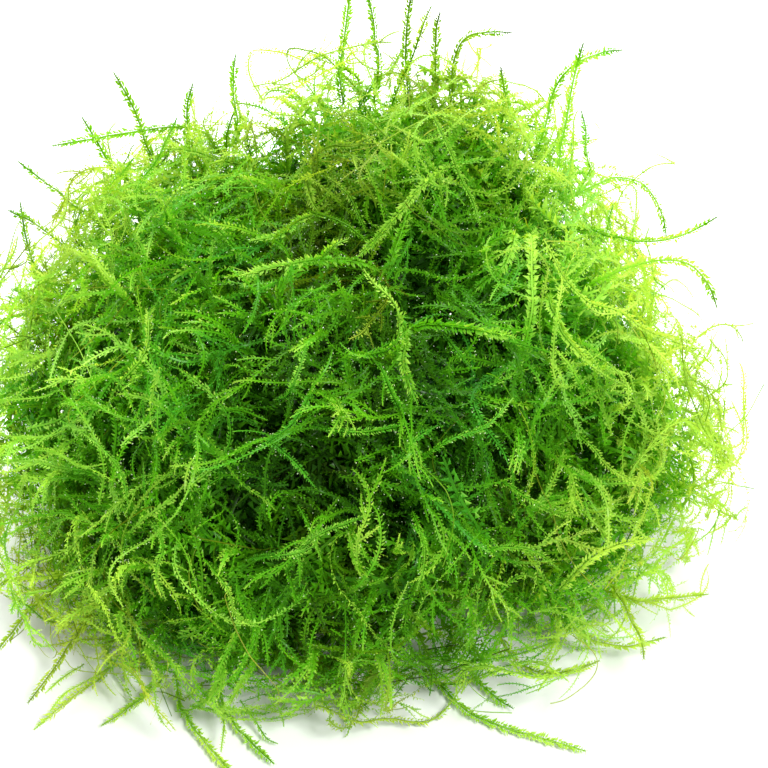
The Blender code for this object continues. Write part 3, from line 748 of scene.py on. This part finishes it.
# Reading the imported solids

WELD_DECIMALS = 3
NEARER_BY = 1e-6
CURVE_POINTS = 16
FEWEST_SPANS = 4

# A shoot's solid is read in stretches as long as its leaves are apart. The points of a stretch give its
# middle, if it has this many or more, and those within WIDTH_REACH of that give the way its blade is wide.
CAD_LEAF_PITCH = 2.0
STRETCH_POINTS = 4
WIDTH_REACH = CAD_LEAF_PITCH * 1.2

# A shoot's line goes on from its solid's root into the tangle, by this depth, inwards and straight on.
ROOT_DEPTH = 5.0
ROOT_INWARDS = 0.7
ROOT_ONWARDS = 0.6

# How far in front of and behind the picture's plane the tangle is sought, in steps of how much, how deep a
# seen strand's root is sunk, and over how many stations to each side its depth is smoothed.
NEAREST_SEEN = 70.0
DEPTH_STEP = 0.5
SUNK_ROOT = 4.0
SEEN_SMOOTHING = 8

# A tuft of the tangle's solid is this many rings of this many corners and a tip.
TUFT_RINGS = 3
TUFT_CORNERS = 3


def welded(node):
    """The node's points with doubles merged, and the links between them."""
    mesh = node.data
    points = np.array([v.co for v in mesh.vertices]) / MM
    rounded = np.round(points, WELD_DECIMALS)
    _, first, same = np.unique(rounded, axis=0, return_index=True, return_inverse=True)
    same = same.reshape(-1)
    points = points[first]
    links = [set() for _ in points]
    for polygon in mesh.polygons:
        corners = [int(same[k]) for k in polygon.vertices]
        for a, b in zip(corners, corners[1:] + corners[:1]):
            if a != b:
                links[a].add(b)
                links[b].add(a)
    return points, links


def walked(points, links, start):
    """How far each point is from the start, along the links."""
    far = np.full(len(points), np.inf)
    far[start] = 0.0
    queue = [start]
    while queue:
        here = min(queue, key=lambda k: far[k])
        queue.remove(here)
        for other in links[here]:
            there = far[here] + np.linalg.norm(points[here] - points[other])
            if there < far[other] - NEARER_BY:
                far[other] = there
                if other not in queue:
                    queue.append(other)
    return far


def smooth_line(knots, step):
    """Evenly spaced points on a Catmull-Rom curve through the given ones."""
    knots = np.asarray(knots, float)
    ends = np.vstack([2 * knots[0] - knots[1], knots, 2 * knots[-1] - knots[-2]])
    t = np.linspace(0, 1, CURVE_POINTS, endpoint=False)[:, None]
    dense = []
    for a, b, c, d in zip(ends, ends[1:], ends[2:], ends[3:]):
        cubic = (b * 3 - a - c * 3 + d) * t**3 + (a * 2 - b * 5 + c * 4 - d) * t**2
        dense.append(b + (c - a) * t / 2 + cubic / 2)
    return even_line(np.vstack([*dense, knots[-1:]]), step)


def even_line(dense, step):
    """Points at equal distances along a polyline, about step apart."""
    run = np.concatenate([[0], np.cumsum(np.linalg.norm(np.diff(dense, axis=0), axis=1))])
    even = np.linspace(0, run[-1], max(FEWEST_SPANS, round(run[-1] / step) + 1))
    return np.stack([np.interp(even, run, dense[:, k]) for k in range(3)], -1)


def widest_way(points, knot, along):
    """The way across a shoot in which its solid is widest at a knot."""
    near = points[np.linalg.norm(points - knot, axis=1) < WIDTH_REACH] - knot
    near = near - np.outer(near @ along, along)
    return np.linalg.svd(near)[2][0]


def shoot_line(node, tangle):
    """The centreline of a shoot's solid from its root to its tip, and the ways that its flat side looks."""
    points, links = welded(node)
    root = int(np.argmin(tangle.outside(points)))
    far = walked(points, links, root)
    stretch = (far / CAD_LEAF_PITCH).astype(int)
    members = [points[stretch == k] for k in range(stretch.max())]
    knots = [found.mean(0) for found in members if len(found) >= STRETCH_POINTS]
    knots = np.array([*knots, points[int(np.argmax(far))]])
    sides = []
    for knot, along in zip(knots, unit(np.gradient(knots, axis=0))):
        widest = widest_way(points, knot, along)
        sides.append(-widest if sides and widest @ sides[-1] < 0 else widest)
    line = smooth_line(knots, BUSHY.pitch)
    inwards = unit(line[0] - line[2]) * ROOT_ONWARDS - tangle.outwards(line[:1])[0] * ROOT_INWARDS
    deep = np.clip(line[0] + unit(inwards) * ROOT_DEPTH, LOWEST, HIGHEST)
    line = np.vstack([smooth_line([deep, (line[0] + deep) / 2, line[0]], BUSHY.pitch)[:-1], line])
    which = np.argmin(np.linalg.norm(line[:, None] - knots, axis=-1), axis=1)
    flats = np.cross(unit(np.gradient(line, axis=0)), np.array(sides)[which])
    return line, flats


def seen_line(tangle, places, lift):
    """The line of a strand that the photo shows at these pixels, laid this far outside the tangle.

    Its root is sunk into the tangle. Where it is beside the tangle, it keeps as close to it as its pixels
    let it."""
    pixels = np.array(places, float) - PICTURE_PIXELS / 2
    across_and_down = np.stack([ACROSS, -UP_THE_PICTURE])
    picture = PICTURE_MIDDLE + pixels @ across_and_down * PICTURE_WIDTH / PICTURE_PIXELS
    picture = smooth_line(picture, BUSHY.pitch)
    sight = unit(picture - (PICTURE_MIDDLE + TOWARDS_VIEWER * VIEW_DISTANCE))
    depths = np.arange(-NEAREST_SEEN, NEAREST_SEEN, DEPTH_STEP)
    outside = tangle.outside(picture[:, None] + sight[:, None] * depths[:, None])
    wanted = lift - SUNK_ROOT * (1 - smooth_step(np.linspace(0, 1, len(picture)), *ROOT_PART))
    reached = outside < wanted[:, None]
    which = np.where(reached.any(1), reached.argmax(1), outside.argmin(1))
    window = 2 * SEEN_SMOOTHING + 1
    padded = np.pad(depths[which], SEEN_SMOOTHING, mode="edge")
    smoothed = np.convolve(padded, np.full(window, 1 / window), mode="valid")
    line = picture + sight * smoothed[:, None]
    return np.clip(even_line(line, BUSHY.pitch), LOWEST, HIGHEST)


def tuft_lines(node):
    """The line of each tuft of the tangle's solid, from its foot to its tip."""
    points, links = welded(node)
    lines = []
    for tip, around in enumerate(links):
        ring, seen, centres = set(around), {tip}, [points[tip]]
        for _ in range(TUFT_RINGS):
            if len(ring) != TUFT_CORNERS:
                break
            centres.append(points[list(ring)].mean(0))
            seen |= ring
            ring = set().union(*(links[k] for k in ring)) - seen
        if len(centres) == TUFT_RINGS + 1:
            lines.append(np.array(centres[::-1]))
    return lines


# Materials

# Dark, middle and bright for each slot of the record, and where these are on the tint map's shade.
PALETTES = {
    "tangle": ((0.016, 0.075, 0.002), (0.105, 0.42, 0.007), (0.47, 0.76, 0.1)),
    "bright_shoot": ((0.03, 0.12, 0.002), (0.2, 0.56, 0.01), (0.52, 0.8, 0.12)),
    "green_shoot": ((0.018, 0.08, 0.002), (0.13, 0.48, 0.007), (0.47, 0.76, 0.1)),
    "olive_shoot": ((0.03, 0.08, 0.002), (0.24, 0.46, 0.007), (0.5, 0.73, 0.1)),
}
RAMP_PLACES = (0.05, 0.55, 0.95)

# The colours that the tint map's hue turns a slot's own to: the hues at which each sets in and is full.
COOL = ((0.005, 0.055, 0.007), (0.045, 0.36, 0.035), (0.3, 0.75, 0.17))
OLIVE = ((0.02, 0.022, 0.002), (0.16, 0.2, 0.006), (0.46, 0.52, 0.07))
# GLINT is the pale colour of the painted highlights.
GLINT = ((0.3, 0.4, 0.2), (0.5, 0.65, 0.38), (0.75, 0.92, 0.6))
HUE_TURNS = ((COOL, 0.4, 0.0), (OLIVE, 0.5, 1.0), (GLINT, *GLINT_HUES))

# A damp leaf's surface under a thin coat of water, how much light goes through it, and in which colour.
DAMP_LEAF = {
    "Roughness": 0.5,
    "Specular IOR Level": 0.05,
    "Coat Weight": 0.25,
    "Coat Roughness": 0.2,
    "Coat IOR": 1.33,
}
LIGHT_THROUGH = 0.45
THROUGH_COLOUR = (1.6, 1.3, 0.4)


def colour_ramp(nodes, links, shade, colours):
    """Dark, middle and bright along a shade."""
    ramp = nodes.new("ShaderNodeValToRGB")
    places = ramp.color_ramp.elements
    places.new(RAMP_PLACES[1])
    for place, at, colour in zip(places, RAMP_PLACES, colours):
        place.position = at
        place.color = (*colour, 1)
    links.new(shade, ramp.inputs["Fac"])
    return ramp.outputs["Color"]


def mixed(nodes, links, share, colour, other):
    """The first colour, turned to the other one by this share."""
    mix = nodes.new("ShaderNodeMix")
    mix.data_type = "RGBA"
    links.new(share, mix.inputs["Factor"])
    links.new(colour, mix.inputs["A"])
    links.new(other, mix.inputs["B"])
    return mix.outputs["Result"]


def leaf_colour(nodes, links, slot):
    """The slot's colour at the tint map's shade, turned by its hue to cool, olive or a speck of light."""
    tint = nodes.new("ShaderNodeUVMap")
    tint.uv_map = TINT_MAP
    split = nodes.new("ShaderNodeSeparateXYZ")
    links.new(tint.outputs["UV"], split.inputs[0])
    shade, hue = split.outputs["X"], split.outputs["Y"]
    colour = colour_ramp(nodes, links, shade, PALETTES[slot])
    for colours, start, full in HUE_TURNS:
        share = nodes.new("ShaderNodeMapRange")
        share.inputs["From Min"].default_value = start
        share.inputs["From Max"].default_value = full
        links.new(hue, share.inputs["Value"])
        other = colour_ramp(nodes, links, shade, colours)
        colour = mixed(nodes, links, share.outputs["Result"], colour, other)
    return colour


def light_through(nodes, links, colour):
    """A leaf's light from behind, which is warmer than its own colour."""
    warm = nodes.new("ShaderNodeMix")
    warm.data_type = "RGBA"
    warm.blend_type = "MULTIPLY"
    warm.inputs["Factor"].default_value = 1.0
    warm.inputs["B"].default_value = (*THROUGH_COLOUR, 1)
    links.new(colour, warm.inputs["A"])
    through = nodes.new("ShaderNodeBsdfTranslucent")
    links.new(warm.outputs["Result"], through.inputs["Color"])
    return through.outputs["BSDF"]


def leaf_material(slot):
    """Damp moss leaf, with the colours of its slot."""
    material = bpy.data.materials.new(slot + "_leaf")
    material.use_nodes = True
    nodes, links = material.node_tree.nodes, material.node_tree.links
    shader = nodes["Principled BSDF"]
    for name, value in DAMP_LEAF.items():
        shader.inputs[name].default_value = value
    colour = leaf_colour(nodes, links, slot)
    links.new(colour, shader.inputs["Base Color"])
    both = nodes.new("ShaderNodeMixShader")
    both.inputs["Fac"].default_value = LIGHT_THROUGH
    links.new(shader.outputs["BSDF"], both.inputs[1])
    links.new(light_through(nodes, links, colour), both.inputs[2])
    links.new(both.outputs["Shader"], nodes["Material Output"].inputs["Surface"])
    return material


# The tangle

TANGLE_SEED = 40
TUFT_SEED = 50
SEEN_SEED = 60
SEEN_TWIST = 0.6
SIDES = ("right", "back", "left", "front")

# The shoots of a tuft: how far each one's tip is off the tuft's own, and how many stations shorter it is.
TUFT_SHOOTS = ((0.0, 0), (1.1, 2), (1.6, 4))
TUFT_SWAY = (0.3, 0.7)
TUFT_DEPTH = 4
TUFT_ROLL = 0.8
TUFT_SHADE = 0.08
TUFT_SHADE_STRAY = 0.06
TUFT_HUE_STRAY = 0.08
TUFT_TIP = 0.1
TUFT_SIZES = (0.6, 0.95)


def side_of(line):
    """The side of the tangle that a strand's middle is on."""
    x, y, _ = line[len(line) // 2]
    quarter = round(math.atan2(y, x) / (math.pi / 2)) % 4
    return SIDES[quarter]


def tangle_piece(name, shoots, material, tangle):
    """A piece in place of the tangle's solid. The length of its name is the seed of its leaves."""
    piece = new_piece(name, shoots, material, tangle, len(name))
    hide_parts("moss_mat")


def build_layers(tangle, material):
    draw = np.random.default_rng(TANGLE_SEED)
    for layer in LAYERS:
        groups = {}
        for line in grown(tangle, draw, layer):
            shoots = groups.setdefault(side_of(line), Shoots(layer.detail))
            for part in dressed(line, tangle, draw, layer):
                shoots.add(*part)
        for side, shoots in sorted(groups.items()):
            tangle_piece(f"{layer.name}_shoots_{side}", shoots, material, tangle)


def build_tufts(tangle, material):
    draw = np.random.default_rng(TUFT_SEED)
    shoots = Shoots(PLAIN)
    for foot, low, high, tip in tuft_lines(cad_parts["moss_mat"]):
        deep = foot - tangle.outwards(foot[None])[0] * TUFT_DEPTH
        for spread, shorter in TUFT_SHOOTS:
            stray = draw.normal(size=3) * spread
            bent = [deep, foot, low + stray * TUFT_SWAY[0], high + stray * TUFT_SWAY[1], tip + stray]
            line = smooth_line(bent, PLAIN.pitch)
            line = np.clip(line[: len(line) - shorter], LOWEST, HIGHEST)
            flats = rolled(line, tangle.outwards(line), np.full(len(line), draw.normal() * TUFT_ROLL))
            shade = draw.normal() * TUFT_SHADE_STRAY + TUFT_SHADE
            hue = draw.normal() * TUFT_HUE_STRAY
            angle = draw.uniform(*LEAF_ANGLE)
            shoots.add(line, flats, Look(draw.uniform(*TUFT_SIZES), shade, hue, TUFT_TIP, angle, False))
    tangle_piece("tuft_shoots", shoots, material, tangle)


def build_seen_strands(tangle, material):
    draw = np.random.default_rng(SEEN_SEED)
    shoots = Shoots(BUSHY)
    for look, lift, places in SEEN_STRANDS:
        line = seen_line(tangle, places, lift)
        roll = np.linspace(0, draw.normal() * SEEN_TWIST, len(line))
        shoots.add(line, rolled(line, TOWARDS_VIEWER + tangle.outwards(line), roll), look)
    tangle_piece("seen_strands", shoots, material, tangle)


# The shoots that are solids of their own

# The slot and the look of each kind, by the first word of its nodes' names.
SHOOT_LOOKS = {
    "crest": ("bright_shoot", Look(1.15, -0.25, 0.0, -0.45, 58, False)),
    "upper": ("bright_shoot", Look(1.15, -0.25, 0.0, -0.2, 58, False)),
    "left": ("green_shoot", Look(1.05, -0.2, 0.0, -0.1, 58, False)),
    "draped": ("green_shoot", Look(1.35, 0.1, -0.04, 0.06, 60, False)),
    "right": ("bright_shoot", Look(1.1, -0.25, 0.0, -0.45, 58, False)),
    "lower": ("olive_shoot", Look(1.05, -0.1, 0.0, -0.3, 60, False)),
    "front": ("bright_shoot", Look(1.05, -0.1, 0.0, -0.2, 60, False)),
    "back": ("green_shoot", Look(1.05, -0.15, 0.0, -0.2, 58, False)),
}
BARE_SHOOTS = ("right_loop_1", "right_loop_2", "right_hair", "right_stem")
SHOOT_SEED = 200
SHOOT_LEAF_SEED = 100
SHOOT_TWIST = 0.7


def build_shoots(tangle, materials):
    for number, (name, node) in enumerate(sorted(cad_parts.items())):
        if name == "moss_mat":
            continue
        slot, look = SHOOT_LOOKS[name.split("_")[0]]
        draw = np.random.default_rng(SHOOT_SEED + number)
        line, flats = shoot_line(node, tangle)
        flats = rolled(line, flats, np.linspace(0, draw.normal() * SHOOT_TWIST, len(line)))
        shoots = Shoots(BUSHY)
        shoots.add(line, flats, look._replace(bare=name in BARE_SHOOTS))
        piece = new_piece(name + "_leaves", shoots, materials[slot], tangle, SHOOT_LEAF_SEED + number)
        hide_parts(name)


# The set

# Metres and watts. A lamp shines at the clump from a direction, this far away.
FLOOR_SIZE = 4
FLOOR_COLOUR = (0.93, 0.93, 0.93)
FLOOR_ROUGHNESS = 0.9
WORLD_STRENGTH = 0.45
NEAREST_CLIP = 0.01
Lamp = namedtuple("Lamp", "name direction distance size power")
LAMPS = (
    Lamp("key_from_behind", (-0.3, 1.0, 1.3), 0.5, 0.4, 5.0),
    Lamp("fill_in_front", (0.5, -1.0, 1.2), 0.6, 0.15, 4.0),
)


def add_floor():
    bpy.ops.mesh.primitive_plane_add(size=FLOOR_SIZE)
    floor = bpy.context.object
    floor.name = "floor"
    material = bpy.data.materials.new("pale_floor")
    material.use_nodes = True
    shader = material.node_tree.nodes["Principled BSDF"]
    shader.inputs["Base Color"].default_value = (*FLOOR_COLOUR, 1)
    shader.inputs["Roughness"].default_value = FLOOR_ROUGHNESS
    floor.data.materials.append(material)


def add_lamp(lamp):
    """A square soft light."""
    light = bpy.data.lights.new(lamp.name, "AREA")
    light.size = lamp.size
    light.energy = lamp.power
    holder = bpy.data.objects.new(lamp.name, light)
    bpy.context.scene.collection.objects.link(holder)
    away = Vector(lamp.direction).normalized()
    holder.location = Vector(PICTURE_MIDDLE) * MM + away * lamp.distance
    holder.rotation_euler = away.to_track_quat("Z", "Y").to_euler()


def add_world():
    world = bpy.data.worlds.new("white_room")
    world.use_nodes = True
    background = world.node_tree.nodes["Background"]
    background.inputs["Color"].default_value = (1, 1, 1, 1)
    background.inputs["Strength"].default_value = WORLD_STRENGTH
    bpy.context.scene.world = world


def add_camera():
    back = Vector(TOWARDS_VIEWER)
    data = bpy.data.cameras.new("camera")
    data.angle = 2 * math.atan(PICTURE_WIDTH / 2 / VIEW_DISTANCE)
    data.clip_start = NEAREST_CLIP
    camera = bpy.data.objects.new("camera", data)
    bpy.context.scene.collection.objects.link(camera)
    camera.location = Vector(PICTURE_MIDDLE) * MM + back * VIEW_DISTANCE * MM
    camera.rotation_euler = back.to_track_quat("Z", "Y").to_euler()
    bpy.context.scene.camera = camera


def main():
    tangle = Tangle(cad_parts["moss_mat"])
    materials = {slot: leaf_material(slot) for slot in PALETTES}
    build_layers(tangle, materials["tangle"])
    build_tufts(tangle, materials["tangle"])
    build_seen_strands(tangle, materials["tangle"])
    build_shoots(tangle, materials)
    add_floor()
    add_world()
    for lamp in LAMPS:
        add_lamp(lamp)
    add_camera()
    bpy.context.scene.view_settings.view_transform = "Standard"


main()
